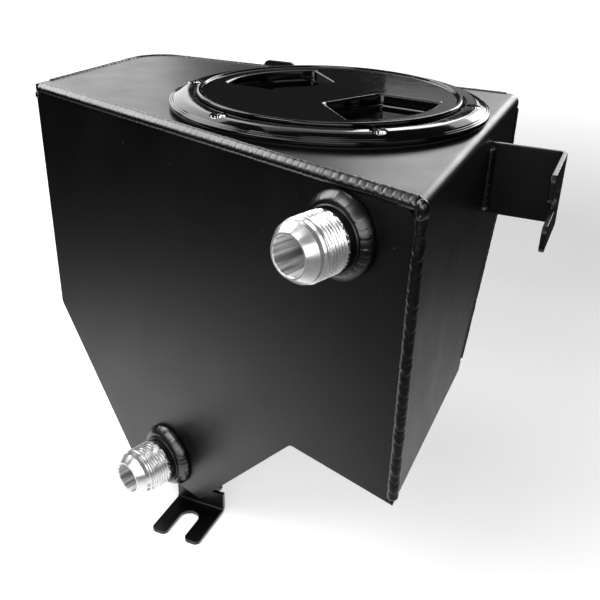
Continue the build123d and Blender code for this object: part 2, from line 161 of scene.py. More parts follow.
def satin_powder_coat(name, rough_low, rough_high, dust, shine):
    """Polyester powder coat, baked satin black: a soft sheen, faint orange peel, some dust."""
    made, tree, place = new_material(name)
    # orange peel cells are about 1.5 mm across
    peel = add(tree, "ShaderNodeTexNoise", {"Vector": place, "Scale": 1 / (1.5 * mm), "Detail": 2.0})
    # handling marks change the sheen over 30 mm or so
    cloud = add(tree, "ShaderNodeTexNoise", {
        "Vector": place, "Scale": 1 / (32 * mm), "Detail": 5.0, "Roughness": 0.6})
    rough = add(tree, "ShaderNodeMapRange", {
        "Value": cloud.outputs[0], "From Min": 0.3, "From Max": 0.7, "To Min": rough_low, "To Max": rough_high})
    tone = add(tree, "ShaderNodeMix", {
        "Factor": cloud.outputs[0], tone_a: colour("#020203"), tone_b: colour("#050506")}, data_type="RGBA")
    # dust specks are real at 0.2 mm and drawn at 0.5 mm so that they show
    grains = add(tree, "ShaderNodeTexVoronoi", {"Vector": place, "Scale": 1 / (9 * mm), "Randomness": 1.0})
    speck = add(tree, "ShaderNodeMapRange", {
        "Value": grains.outputs["Distance"], "From Min": 0.05, "From Max": 0.02, "To Min": 0.0, "To Max": dust})
    dusted = add(tree, "ShaderNodeMix", {
        "Factor": speck.outputs[0], tone_a: tone.outputs[mixed], tone_b: colour("#8a8a88")}, data_type="RGBA")
    bump = add(tree, "ShaderNodeBump", {"Height": peel.outputs[0], "Strength": 0.35, "Distance": 0.03 * mm})
    finish_material(tree, add(tree, "ShaderNodeBsdfPrincipled", {
        "Base Color": dusted.outputs[mixed], "Roughness": rough.outputs[0], "Normal": bump.outputs[0],
        "Specular IOR Level": shine}))
    return made


def gloss_moulded_plastic():
    """Injection moulded ASA from a polished mould: a mirror skin with slow ripples and a faint haze."""
    made, tree, place = new_material("gloss_black_asa")
    # sink ripples of the moulding are about 18 mm long
    ripple = add(tree, "ShaderNodeTexNoise", {"Vector": place, "Scale": 1 / (18 * mm), "Detail": 1.0})
    # wiping leaves a haze in patches of about 6 mm
    haze = add(tree, "ShaderNodeTexNoise", {
        "Vector": place, "Scale": 1 / (6 * mm), "Detail": 6.0, "Roughness": 0.7})
    rough = add(tree, "ShaderNodeMapRange", {
        "Value": haze.outputs[0], "From Min": 0.35, "From Max": 0.7, "To Min": 0.05, "To Max": 0.12})
    bump = add(tree, "ShaderNodeBump", {"Height": ripple.outputs[0], "Strength": 0.5, "Distance": 0.12 * mm})
    finish_material(tree, add(tree, "ShaderNodeBsdfPrincipled", {
        "Base Color": colour("#040405"), "Roughness": rough.outputs[0], "Normal": bump.outputs[0]}))
    return made


def turned_aluminium():
    """Bare 6061 bar, turned: bright with fine lathe rings, the coating left ragged at the thread's root."""
    made, tree, place = new_material("turned_aluminium")
    along = add(tree, "ShaderNodeSeparateXYZ", {"Vector": place}).outputs["Z"]
    # feed marks are 0.1 mm apart and drawn at 0.5 mm so that they show
    rings = add(tree, "ShaderNodeTexWave", {
        "Vector": place, "Scale": math.tau / (20 * 0.5 * mm), "Distortion": 0.6, "Detail": 1.0},
        wave_type="BANDS", bands_direction="Z")
    smear = add(tree, "ShaderNodeTexNoise", {"Vector": place, "Scale": 1 / (5 * mm), "Detail": 4.0})
    metal = add(tree, "ShaderNodeMix", {
        "Factor": smear.outputs[0], tone_a: colour("#c9cacc"), tone_b: colour("#f1f1f0")}, data_type="RGBA")
    metal_rough = add(tree, "ShaderNodeMapRange", {
        "Value": smear.outputs[0], "From Min": 0.3, "From Max": 0.7, "To Min": 0.16, "To Max": 0.3})
    # light and dark streaks painted down the bore, about 3 mm wide, stand in for reflections along its wall
    flat_place = add(tree, "ShaderNodeVectorMath", {0: place, 1: (1.0, 1.0, 0.0)}, operation="MULTIPLY")
    radial = add(tree, "ShaderNodeVectorMath", {0: flat_place.outputs[0]}, operation="LENGTH")
    inside = add(tree, "ShaderNodeMapRange", {
        "Value": radial.outputs["Value"], "From Min": bore_r + 0.45 * mm, "From Max": bore_r + 0.2 * mm,
        "To Min": 0.0, "To Max": 1.0})
    long_place = add(tree, "ShaderNodeVectorMath", {0: place, 1: (1.0, 1.0, 0.06)}, operation="MULTIPLY")
    painted_streak = add(tree, "ShaderNodeTexNoise", {
        "Vector": long_place.outputs[0], "Scale": 1 / (3.0 * mm), "Detail": 3.0})
    band = add(tree, "ShaderNodeMapRange", {
        "Value": painted_streak.outputs[0], "From Min": 0.36, "From Max": 0.6, "To Min": 0.0, "To Max": 1.0})
    painted_streak_tone = add(tree, "ShaderNodeMix", {
        "Factor": band.outputs[0], tone_a: colour("#77787a"), tone_b: colour("#fafafa")}, data_type="RGBA")
    metal = add(tree, "ShaderNodeMix", {
        "Factor": inside.outputs[0], tone_a: metal.outputs[mixed], tone_b: painted_streak_tone.outputs[mixed]},
        data_type="RGBA")
    metal_rough = add(tree, "ShaderNodeMix", {
        "Factor": inside.outputs[0], value_a: metal_rough.outputs[0], value_b: 0.5}, data_type="FLOAT")
    # the coating covers the collar and tears off along the first threads
    coat_end = collar_len + groove_len + 3.4 * mm
    tear = add(tree, "ShaderNodeTexNoise", {"Vector": place, "Scale": 1 / (2.2 * mm), "Detail": 3.0})
    edge = add(tree, "ShaderNodeMath", {0: tear.outputs[0], 1: 4.0 * mm, 2: along}, operation="MULTIPLY_ADD")
    bare = add(tree, "ShaderNodeMapRange", {
        "Value": edge.outputs[0], "From Min": coat_end, "From Max": coat_end + 0.25 * mm,
        "To Min": 0.0, "To Max": 1.0})
    tone = add(tree, "ShaderNodeMix", {
        "Factor": bare.outputs[0], tone_a: colour("#070708"), tone_b: metal.outputs[mixed]}, data_type="RGBA")
    rough = add(tree, "ShaderNodeMix", {
        "Factor": bare.outputs[0], value_a: 0.36, value_b: metal_rough.outputs[0]}, data_type="FLOAT")
    bump = add(tree, "ShaderNodeBump", {"Height": rings.outputs[0], "Strength": 0.3, "Distance": 0.03 * mm})
    # a thin oxide film scatters part of the light, more in the bore
    bright = add(tree, "ShaderNodeMapRange", {"Value": inside.outputs[0], "To Min": 0.72, "To Max": 0.15})
    shine = add(tree, "ShaderNodeMath", {0: bare.outputs[0], 1: bright.outputs[0]}, operation="MULTIPLY")
    finish_material(tree, add(tree, "ShaderNodeBsdfPrincipled", {
        "Base Color": tone.outputs[mixed], "Metallic": shine.outputs[0], "Roughness": rough.outputs[0],
        "Normal": bump.outputs[0]}))
    return made


def polished_stainless():
    """Stainless screws, bright finish: grey steel with a fine drawn grain."""
    made, tree, place = new_material("polished_stainless_steel")
    grain = add(tree, "ShaderNodeTexNoise", {"Vector": place, "Scale": 1 / (0.8 * mm), "Detail": 3.0})
    tone = add(tree, "ShaderNodeMix", {
        "Factor": grain.outputs[0], tone_a: colour("#a9aaac"), tone_b: colour("#d8d8d8")}, data_type="RGBA")
    rough = add(tree, "ShaderNodeMapRange", {"Value": grain.outputs[0], "To Min": 0.09, "To Max": 0.16})
    finish_material(tree, add(tree, "ShaderNodeBsdfPrincipled", {
        "Base Color": tone.outputs[mixed], "Metallic": 1.0, "Roughness": rough.outputs[0]}))
    return made


def matt_black_rubber(name, shade):
    """Black rubber, cut or moulded: matt, with a fine grain."""
    made, tree, place = new_material(name)
    grain = add(tree, "ShaderNodeTexNoise", {"Vector": place, "Scale": 1 / (0.6 * mm), "Detail": 4.0})
    rough = add(tree, "ShaderNodeMapRange", {"Value": grain.outputs[0], "To Min": 0.6, "To Max": 0.85})
    bump = add(tree, "ShaderNodeBump", {"Height": grain.outputs[0], "Strength": 0.4, "Distance": 0.05 * mm})
    finish_material(tree, add(tree, "ShaderNodeBsdfPrincipled", {
        "Base Color": colour(shade), "Roughness": rough.outputs[0], "Normal": bump.outputs[0]}))
    return made


coat = satin_powder_coat("satin_black_powder_coat", 0.32, 0.39, dust=0.3, shine=0.45)
weld_coat = satin_powder_coat("powder_coat_on_weld", 0.24, 0.32, dust=0.0, shine=1.0)
gloss = gloss_moulded_plastic()
aluminium = turned_aluminium()
steel = polished_stainless()
gasket_rubber = matt_black_rubber("cut_epdm_rubber", "#0e0e0e")
seal_rubber = matt_black_rubber("moulded_nitrile_rubber", "#121212")


def mesh_piece(name, points, faces, material, sharp=40.0):
    """A smooth shaded object from points and faces, with edges kept crisp above an angle."""
    mesh = bpy.data.meshes.new(name)
    mesh.from_pydata(points, [], faces)
    mesh.validate()
    mesh.shade_smooth()
    mesh.set_sharp_from_angle(angle=math.radians(sharp))
    mesh.materials.append(material)
    made = bpy.data.objects.new(name, mesh)
    bpy.context.collection.objects.link(made)
    return made


def settle(piece, body, slot, *nodes):
    """Rides the piece on its body and lets it stand for its nodes."""
    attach(piece, body)
    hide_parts(*nodes)
    return piece


def finish_node(node, material):
    """Gives a kept node its finish."""
    piece = frame["nodes"][node]
    for entry in piece.material_slots:
        entry.link = "OBJECT"
        entry.material = material
    return piece


def soften(node, material, width):
    """Gives a kept node its finish and small rounded edges."""
    piece = finish_node(node, material)
    join = piece.modifiers.new("join", "WELD")
    join.merge_threshold = 0.002 * mm
    flat = piece.modifiers.new("flat", "DECIMATE")
    flat.decimate_type = "DISSOLVE"
    flat.angle_limit = math.radians(0.3)
    edge = piece.modifiers.new("edge", "BEVEL")
    edge.width = width
    edge.segments = 3
    edge.limit_method = "ANGLE"
    edge.angle_limit = math.radians(30.0)
    shading = piece.modifiers.new("shading", "WEIGHTED_NORMAL")
    shading.weight = 100
    shading.keep_sharp = True


# Weld rows: each is a string of overlapping coins laid along its seam
def coin_row(stations, radius, pitch, seed, height=coin_step, bow=0.6, flat=0.9, wide=1.0, groove=0.07,
             crisp=6, square=1.0, calm=None, closed=False, sides=24):
    """Points and faces of a rippled bead. A station is (point, outward, distance along).

    height is the coins' step as a share of the radius, bow how far their edges trail at the
    sides, crisp how steep those edges are and groove the dip along the crown. flat, wide and
    square shape the cross section. calm scales the step by the share of the way along.
    """
    draw = random.Random(seed)
    total = stations[-1][2]
    count = max(1, round(total / pitch))
    pitch = total / count
    uneven = 0.03                # how far one coin stands above or below the next, in radii
    wander = 11 * mm             # the length over which the coins' spacing varies
    pebble = 1.9 * mm            # the size of the coat's small bumps on a bead
    lift = [draw.uniform(-uneven, uneven) for _ in range(count)]
    last = len(stations) - (1 if closed else 0)
    rings = []
    for i in range(last):
        point, outward, s = stations[i]
        before = stations[i - 1 if i or closed else 0][0]
        after = stations[(i + 1) % last if closed else min(i + 1, last - 1)][0]
        ahead = (after - before).normalized()
        side = ahead.cross(outward).normalized()
        up = side.cross(ahead).normalized()
        # an open row has rounded ends, and its coins are unevenly spaced
        end = 1.0 if closed else min(1.0, math.sqrt(max(0.0, min(s, total - s)) / radius / 0.9 + 0.002))
        travel = 0.0 if closed else 0.5 * noise.noise(Vector((s / wander, seed, 0)))
        swell = height * (calm(s / total) if calm else 1.0)
        ring = []
        for k in range(sides):
            a = math.tau * k / sides
            rise, spread = [math.copysign(abs(v) ** square, v) for v in (math.cos(a), math.sin(a))]
            phase = s / pitch + travel - bow * math.sin(a) ** 2 + count
            step, share = int(phase) % count, phase - int(phase)
            coin = (1.0 - abs(2.0 * share - 1.0) ** crisp) * (1.1 - 0.4 * share)
            crown = math.exp(-((a if a < math.pi else math.tau - a) / 0.3) ** 2)
            r = radius * end * (1.0 + swell * (coin - 0.85) + lift[step] * swell / coin_step - groove * crown)
            r *= 1.0 + 0.025 * noise.noise(point / pebble + Vector((math.cos(a), math.sin(a), seed)))
            ring.append(point + (up * rise * flat + side * spread * wide) * r)
        rings.append(ring)
    points = [p for ring in rings for p in ring]
    faces = []
    for i in range(last if closed else last - 1):
        j = (i + 1) % last
        for k in range(sides):
            n = (k + 1) % sides
            faces.append((i * sides + k, j * sides + k, j * sides + n, i * sides + n))
    if not closed:
        faces.append(tuple(range(sides)))
        faces.append(tuple(reversed(range((last - 1) * sides, last * sides))))
    return points, faces


def straight(start, end, outward, step=0.55 * mm):
    """Stations along a straight seam."""
    length = (end - start).length
    count = max(2, round(length / step))
    outward = Vector(outward).normalized()
    return [(start.lerp(end, i / count), outward, length * i / count) for i in range(count + 1)]


def chained(*runs):
    """Joins runs of stations end to end."""
    out = list(runs[0])
    for run in runs[1:]:
        base = out[-1][2]
        out += [(point, outward, base + s) for point, outward, s in run[1:]]
    return out


def combined(*shells):
    """One list of points and faces from several."""
    points, faces = [], []
    for more_points, more_faces in shells:
        faces += [tuple(i + len(points) for i in face) for face in more_faces]
        points += more_points
    return points, faces


def crater(centre, outward, radius, pit_size=0.25):
    """The end of a weld run: an upright oval puddle with a low pit and a raised lip under it."""
    outward = outward.normalized()
    across = upward.cross(outward)
    rings, sides = 40, 48
    # the puddle's width and height, the pit's place and depth and the lip's height, in radii
    narrow, tall = 0.86, 1.28
    pit_x, pit_y, pit_depth, lip_height = -0.05, -0.22, 0.5, 0.07
    points, faces = [], []
    for i in range(rings + 1):
        a = math.pi * i / rings
        for k in range(sides):
            b = math.tau * k / sides
            x, y, depth = math.sin(a) * math.cos(b), math.sin(a) * math.sin(b), math.cos(a)
            # the back half lies far from the pit
            away = math.hypot((x - pit_x) / 0.9, (y - pit_y) / 1.1) if depth > 0 else 9.0
            pit = math.exp(-(away / pit_size) ** 4)
            low = 0.5 - 0.5 * (y - pit_y) / max(away, 0.01)
            lip = math.exp(-((away - 1.9 * pit_size) / 0.2) ** 2) * low
            r = radius * (1.0 + lip_height * lip - pit_depth * pit)
            points.append(centre + across * x * r * narrow + upward * y * r * tall + outward * depth * r)
    for i in range(rings):
        for k in range(sides):
            n = (k + 1) % sides
            faces.append((i * sides + k, (i + 1) * sides + k, (i + 1) * sides + n, i * sides + n))
    return points, faces


def front_seam():
    """Along the front's top edge, a crater on the corner, and down the right edge."""
    base = stub_place("upper_bore")
    start_in, corner_in, corner_drop = 2.0 * mm, 1.6 * mm, 4.0 * mm
    crater_drop, tail_drop = 0.6 * mm, 5.5 * mm

    def on_seam(x, z):
        point = base + along_front * ((x - base.x) / along_front.x)
        point.z = z
        return point - out_front * bead_in

    start = on_seam(left_x + start_in, top_z - bead_in)
    corner = on_seam(right_x - corner_in, top_z - bead_in)
    corner_low = on_seam(right_x - bead_in, top_z - corner_drop)
    foot = on_seam(right_x - bead_in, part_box("front_seam_bead")[0].z)
    top_row = coin_row(straight(start, corner, out_front + Vector((0, 0, 1.1))), bead_r, coin_pitch, 3,
                       height=0.07, flat=0.85, wide=1.2, groove=0.06, square=0.85)
    side_row = coin_row(straight(foot, corner_low, out_front + Vector((1, 0, 0))), bead_r * 1.05,
                        coin_pitch * 1.2, 8, height=0.1, groove=0.0, flat=0.9, crisp=10)
    blob = crater(corner_low - upward * crater_drop, out_front + Vector((0.45, 0, 0.3)), corner_crater_r)
    tail_reach = cad_box[0].x + tail_crater_r + 0.1 * mm - start.x
    tail = crater(start + Vector((tail_reach, 0, -tail_drop)), out_front + Vector((-0.6, 0, 0)),
                  tail_crater_r, pit_size=0.1)
    piece = mesh_piece("front_weld_row", *combined(top_row, side_row, blob, tail), weld_coat)
    settle(piece, "tank", "black_coating", "front_seam_bead")


def rear_top_row():
    """Round the left and back edges of the top."""
    z = top_z - rear_bead_in
    low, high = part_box("rear_top_bead")
    edge_x, edge_y = left_x + rear_bead_in, back_y - rear_bead_in
    turn_r = corner_bend - rear_bead_in
    turn_start = Vector((edge_x, back_y - corner_bend, z))
    turn_centre = Vector((left_x + corner_bend, back_y - corner_bend, z))
    arc = []
    steps = 70
    for i in range(steps + 1):
        a = math.radians(180.0 - 90.0 * i / steps)
        away = Vector((math.cos(a), math.sin(a), 0))
        along = turn_r * math.pi / 2 * i / steps
        arc.append((turn_centre + away * turn_r, (away + upward).normalized(), along))
    stations = chained(straight(Vector((edge_x, low.y, z)), turn_start, (-1, 0, 1)), arc,
                       straight(arc[-1][0], Vector((high.x, edge_y, z)), (0, 1, 1)))
    row = coin_row(stations, rear_bead_r, coin_pitch, 21)
    settle(mesh_piece("rear_top_weld_row", *row, weld_coat), "tank", "black_coating", "rear_top_bead")


def rear_side_row():
    """Down the right wall's rear edge."""
    low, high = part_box("rear_side_bead")
    x, y = right_x - rear_bead_in, back_y - rear_bead_in
    knee = Vector((x, y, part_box("sloping_back")[1].z))
    bottom = Vector((x, low.y + rear_bead_r, low.z + rear_bead_r))
    down = (bottom - knee).normalized()
    away = Vector((0, -down.z, down.y)).normalized()
    stations = chained(straight(Vector((x, y, high.z)), knee, (1, 1, 0)),
                       straight(knee, bottom, away + Vector((1, 0, 0))))
    row = coin_row(stations, rear_bead_r, coin_pitch, 33)
    settle(mesh_piece("rear_side_weld_row", *row, weld_coat), "tank", "black_coating", "rear_side_bead")


def stub_place(bore):
    """Where a stub's axis meets the front plate's face."""
    mount = mounts[bore]
    half = mount["dims"]["length_mm"] * mm / 2
    return Vector(mount["pos_m"]) - out_front * (half - wall)


def stub_frame(bore):
    """A matrix with Z along the stub's axis and its origin on the front plate."""
    turn = Matrix((along_front, upward, out_front)).transposed().to_4x4()
    return Matrix.Translation(stub_place(bore)) @ turn


def stub_weld(bore, node, seed):
    """The ring of coins round a stub: rippled on the right side and smooth on the left."""
    at = stub_frame(bore)
    steps = 230
    stations = []
    for i in range(steps + 1):
        a = math.tau * i / steps
        ray = Vector((math.cos(a), math.sin(a), 0))
        ring_r = stub_bead_ring_r - stub_bead_tight * max(0.0, ray.x)
        outward = at.to_3x3() @ (ray * 1.1 + upward)
        stations.append((at @ (ray * ring_r + upward * stub_bead_out), outward.normalized(),
                         math.tau * stub_bead_ring_r * i / steps))

    def calm(share):
        return 0.25 + 0.75 * max(0.0, math.cos(math.tau * share + 0.1)) ** 1.5

    row = coin_row(stations, stub_bead_r, stub_coin_pitch, seed, height=0.11, bow=0.5, flat=0.66,
                   wide=1.1, groove=0.0, crisp=10, square=0.72, calm=calm, closed=True, sides=30)
    name = node.replace("bung", "stub") + "_row"
    settle(mesh_piece(name, *row, weld_coat), "tank", "black_coating", node)


def bracket_rows():
    """The short beads that hold the three brackets, each laid along its node's box."""
    def run(node, name, lines, radius):
        rows = [coin_row(straight(Vector(start), Vector(end), outward), radius, coin_pitch, seed)
                for start, end, outward, seed in lines]
        settle(mesh_piece(name, *combined(*rows), weld_coat), "tank", "black_coating", node)

    low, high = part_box("side_bracket_weld")
    r = high.x - low.x
    run("side_bracket_weld", "side_bracket_weld_rows",
        [((low.x, y, low.z), (low.x, y, high.z), (1, toward, 0), seed)
         for y, toward, seed in ((low.y + r, -1, 41), (high.y - r, 1, 42))], r)
    low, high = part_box("foot_weld")
    run("foot_weld", "foot_weld_row",
        [((low.x, low.y, high.z), (high.x, low.y, high.z), (0, 1, -1), 43)], high.y - low.y)
    low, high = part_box("rear_tab_weld")
    r = high.y - low.y
    run("rear_tab_weld", "rear_tab_weld_rows",
        [((x, low.y, low.z), (x, low.y, high.z), (toward, 1, 0), seed)
         for x, toward, seed in ((low.x + r, -1, 44), (high.x - r, 1, 45))], r)


# Turned pieces
def rounded(outline, steps=5):
    """A closed outline of (x, y, rounding) in mm with its corners rounded, as (x, y) in metres."""
    out = []
    places = [Vector((x * mm, y * mm)) for x, y, _ in outline]
    for i, here in enumerate(places):
        before, after = places[i - 1] - here, places[(i + 1) % len(places)] - here
        r = min(outline[i][2] * mm, 0.45 * before.length, 0.45 * after.length)
        if r <= 0:
            out.append((here.x, here.y))
            continue
        a, b = here + before.normalized() * r, here + after.normalized() * r
        for k in range(steps + 1):
            t = k / steps
            p = a * (1 - t) ** 2 + here * 2 * t * (1 - t) + b * t ** 2
            out.append((p.x, p.y))
    return out


def turned(profile, segments, radius_at=None):
    """Points and faces of a closed outline turned round Z."""
    points, faces = [], []
    n = len(profile)
    for s in range(segments):
        a = math.tau * s / segments
        for r, z in profile:
            r = radius_at(r, z, a) if radius_at else r
            points.append(Vector((r * math.cos(a), r * math.sin(a), z)))
    for s in range(segments):
        t = (s + 1) % segments
        for i in range(n):
            j = (i + 1) % n
            faces.append((s * n + i, t * n + i, t * n + j, s * n + j))
    return points, faces


def threaded_stub(bore, node, name):
    """A weld-in stub: collar, relief groove, cut thread and a coned nose."""
    start = collar_len + groove_len
    end = start + thread_len
    cone_r = thread_r - nose_step
    cone_z = stub_end - (cone_r - nose_r) / math.tan(cone_angle)
    # the collar's foot sinks a little into the plate, and its outer edge is chamfered
    foot, chamfer = -0.2 * mm, 0.6 * mm
    outside = [(root_r, -wall), (root_r, foot), (collar_r, foot), (collar_r, collar_len - chamfer),
               (collar_r - chamfer, collar_len), (groove_r, collar_len), (groove_r, start)]
    rows = 110
    cut = [(thread_r, start + (end - start) * i / rows) for i in range(rows + 1)]
    nose_edge, mouth_edge = 0.3 * mm, 0.5 * mm
    nose = [(cone_r, end + 0.9 * mm), (cone_r, cone_z), (nose_r + nose_edge, stub_end - nose_edge),
            (nose_r, stub_end), (bore_r + mouth_edge, stub_end), (bore_r, stub_end - mouth_edge),
            (bore_r, -wall)]

    def radius_at(r, z, a):
        """Sinks the thread's points into a helix that fades out at both ends."""
        if r != thread_r:
            return r
        share = (z / thread_pitch - a / math.tau) % 1.0
        slope = abs(2.0 * share - 1.0)
        flank = min(max((slope - thread_flat) / (1.0 - 2 * thread_flat), 0.0), 1.0)
        fade = min(1.0, (z - start) / (1.2 * thread_pitch) + 0.35, (end - z) / (0.9 * thread_pitch) + 0.1)
        return r - thread_depth * (1.0 - flank) * fade

    piece = mesh_piece(name, *turned(outside + cut + nose, 128, radius_at), aluminium, sharp=34.0)
    piece.matrix_world = stub_frame(bore)
    settle(piece, "tank", "bare_aluminium", node)


def screw_spots(height):
    """The screws' places on the flange, in the deck plate's own frame."""
    angles = [math.radians(screw_start + 360.0 / screw_count * i) for i in range(screw_count)]
    return [Vector((screw_circle_r * math.cos(a), screw_circle_r * math.sin(a), height)) for a in angles]


# The flange's outline: radius, height and rounding in mm
flange_outline = [
    (76.5, -16.0, 0.3), (80.5, -16.0, 0.3), (80.5, 1.5, 0.0),              # neck
    (100.8, 1.5, 0.3), (101.6, 2.3, 0.4), (101.6, 4.1, 0.3),               # upright rim on the gasket
    (101.2, 4.6, 0.25), (100.4, 4.8, 0.2), (100.0, 5.3, 0.25), (99.2, 5.5, 0.2), (98.7, 6.1, 0.3),
    (93.6, 8.1, 1.6), (86.4, 8.4, 0.5), (85.7, 7.6, 0.4),                  # crown and inner edge
    (85.7, 4.6, 0.3), (76.5, 4.6, 0.3)]                                    # ledge under the seal


def deck_flange():
    """The deck plate's flange: crowned, with two fine steps at its rim and six sunk screw holes."""
    piece = mesh_piece("deck_flange", *turned(rounded(flange_outline), 240), gloss, sharp=50.0)
    piece.matrix_world = Matrix.Translation(deck_centre)
    sink_r, sink_z = screw_head_r + 0.1 * mm, screw_head_top - 4.3 * mm
    hole_foot, hole_top = -3.0 * mm, screw_head_top + 2.0 * mm
    hole = [(off_axis, hole_foot), (screw_hole_r, hole_foot), (screw_hole_r, sink_z), (sink_r, sink_z),
            (sink_r, screw_head_top - 0.3 * mm), (screw_head_r + 1.3 * mm, hole_top), (off_axis, hole_top)]
    points, faces = turned(hole, 48)
    cut_away(piece, [([p + spot for p in points], faces) for spot in screw_spots(0.0)])
    settle(piece, "tank", "gloss_black_plastic", "deck_ring")


def pocket_outline(grow, turn):
    """A finger pocket's outline, widened by grow: straight toward the middle, round toward the rim."""
    near, half = pocket_near - grow, pocket_half + grow
    far, slope = pocket_far_r + grow, math.tan(pocket_flare)
    # where the flared side meets the round side
    lean = half - near * slope
    x = (-lean * slope + math.sqrt(far ** 2 * (1 + slope ** 2) - lean ** 2)) / (1 + slope ** 2)
    reach = math.atan2(lean + slope * x, x)
    corner = max(pocket_corner + grow, pocket_corner_least) / mm
    outline = []
    arc_half = 14
    for k in range(-arc_half, arc_half + 1):
        a = reach * k / arc_half
        rounding = corner if abs(k) == arc_half else 0.0
        outline.append((far * math.cos(a) / mm, far * math.sin(a) / mm, rounding))
    outline += [(near / mm, side * half / mm, corner) for side in (1, -1)]
    return [Vector((x * math.cos(turn) - y * math.sin(turn), x * math.sin(turn) + y * math.cos(turn), 0))
            for x, y in rounded(outline, 6)]


def lofted(levels, turn):
    """A skin through pocket outlines, each given as (grow, height) in mm. The last one is closed off."""
    points, faces = [], []
    for grow, height in levels:
        points += [p + Vector((0, 0, height * mm)) for p in pocket_outline(grow * mm, turn)]
    n = len(points) // len(levels)
    for i in range(len(levels) - 1):
        for k in range(n):
            m = (k + 1) % n
            faces.append((i * n + k, (i + 1) * n + k, (i + 1) * n + m, i * n + m))
    faces.append(tuple(reversed(range((len(levels) - 1) * n, len(levels) * n))))
    return points, faces


# A pocket's bowl from its lip down to its floor, and its under side: grow and height in mm
bowl_levels = [(pocket_lip, 9.2), (0.4, 8.84), (0.1, 8.6), (0.0, 8.3), (0.0, 3.2),           # lip and wall
               (-0.25, 2.1), (-0.9, 1.15), (-1.9, 0.6), (-3.2, 0.4), (-4.0, 0.4)]            # floor
under_levels = [(pocket_lip, 6.8), (2.4, 6.6), (2.4, -1.4), (1.8, -2.0)]


def deck_cover():
    """The screw-out cover: dished inside a raised lip, with two deep finger pockets and a skirt."""
    edge = cover_r / mm
    skirt_r = neck_bore_r / mm - skirt_gap
    middle_r = 0.01                # off the axis, in mm as all of this outline
    under, dish, lip_top, skirt_foot, skirt_t = 6.8, 9.2, 10.5, -9.0, 3.4
    outline = [(middle_r, under, 0.0), (skirt_r - skirt_t, under, 0.3), (skirt_r - skirt_t, skirt_foot, 0.5),
               (skirt_r, skirt_foot, 0.5), (skirt_r, under, 0.3),                    # skirt
               (edge - 0.6, under, 0.2), (edge, 7.4, 0.2), (edge, 9.7, 0.5),         # outer edge
               (edge - 0.8, lip_top, 0.5), (edge - 2.4, lip_top, 0.9), (edge - 3.7, dish, 1.0),
               (middle_r, dish, 0.0)]
    piece = mesh_piece("deck_cover", *turned(rounded(outline), 240), gloss, sharp=50.0)
    piece.matrix_world = Matrix.Translation(deck_centre)
    turns = [pocket_axis, pocket_axis + math.pi]
    holes = [lofted([(pocket_lip, 20.0), (pocket_lip, 2.0)], turn) for turn in turns]
    for points, faces in holes:
        faces.append(tuple(range(len(points) // 2)))
    cut_away(piece, holes)
    skins = []
    for turn in turns:
        skins.append(lofted(bowl_levels, turn))
        points, faces = lofted(under_levels, turn)
        skins.append((points, [tuple(reversed(face)) for face in faces]))
    bowls = mesh_piece("pocket_bowls", *combined(*skins), gloss, sharp=60.0)
    bowls.matrix_world = Matrix.Translation(deck_centre)
    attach(bowls, "cover")
    settle(piece, "cover", "gloss_black_plastic", "cover")


def cut_away(piece, shells):
    """Cuts closed shells, given in the piece's own frame, out of it."""
    cutter = mesh_piece("cutter", *combined(*shells), gloss)
    cutter.matrix_world = piece.matrix_world
    cut = piece.modifiers.new("cut", "BOOLEAN")
    cut.object = cutter
    cut.operation = "DIFFERENCE"
    cut.solver = "EXACT"
    bpy.context.view_layer.update()
    made = bpy.data.meshes.new_from_object(piece.evaluated_get(bpy.context.evaluated_depsgraph_get()))
    piece.modifiers.clear()
    piece.data = made
    made.shade_smooth()
    made.set_sharp_from_angle(angle=math.radians(50.0))
    bpy.data.objects.remove(cutter)


# A screw's outline: radius, height from the head's top and rise of a rib, in mm
screw_outline = [
    (4.6, -4.2, 0.0), (4.6, -0.35, 0.0), (4.54, -0.1, 0.0), (4.4, 0.0, 0.0), (4.24, -0.1, 0.0),    # rim
    (4.1, -0.4, 0.0), (3.7, -1.0, 0.45), (3.1, -1.8, 0.6), (2.5, -2.6, 0.6), (1.9, -3.3, 0.5), (1.4, -3.8, 0.2),
    (1.0, -4.0, 0.0), (0.4, -4.0, 0.0), (0.01, -4.0, 0.0),                                         # middle
    (0.01, -9.0, 0.0), (2.3, -9.0, 0.0), (2.4, -8.8, 0.0), (2.4, -4.2, 0.0)]                       # shank


def flange_screws():
    """Six sunk screws: a thin raised rim round a dish, with ribs running down to a dark middle."""
    shells = []
    segments, ribs = 144, 12
    n = len(screw_outline)
    for centre in screw_spots(screw_head_top):
        points, faces = [], []
        for s in range(segments):
            b = math.tau * s / segments
            blade = max(0.0, math.cos(b * ribs)) ** 6
            points += [centre + Vector((r * math.cos(b), r * math.sin(b), z + rib * blade)) * mm
                       for r, z, rib in screw_outline]
        for s in range(segments):
            t = (s + 1) % segments
            for k in range(n):
                m = (k + 1) % n
                faces.append((s * n + k, s * n + m, t * n + m, t * n + k))
        shells.append((points, faces))
    piece = mesh_piece("flange_screws", *combined(*shells), steel, sharp=55.0)
    piece.matrix_world = Matrix.Translation(deck_centre)
    settle(piece, "tank", "screw_steel", "ring_screws")


for node in ("front_plate", "top_side_sheet", "left_back_sheet", "sloping_back", "belly_sheet"):
    soften(node, coat, sheet_edge)
for node in ("side_bracket", "foot_bracket", "rear_tab"):
    soften(node, coat, strap_edge)
soften("deck_gasket", gasket_rubber, gasket_edge)
finish_node("cover_seal", seal_rubber)

front_seam()
rear_top_row()
rear_side_row()
stub_weld("upper_bore", "upper_bung_weld", 51)
stub_weld("lower_bore", "lower_bung_weld", 52)
bracket_rows()
threaded_stub("upper_bore", "upper_bung", "upper_stub")
threaded_stub("lower_bore", "lower_bung", "lower_stub")
deck_flange()
deck_cover()
flange_screws()


# Floor, light and camera
middle = Vector((0.0, 0.05, 0.15))
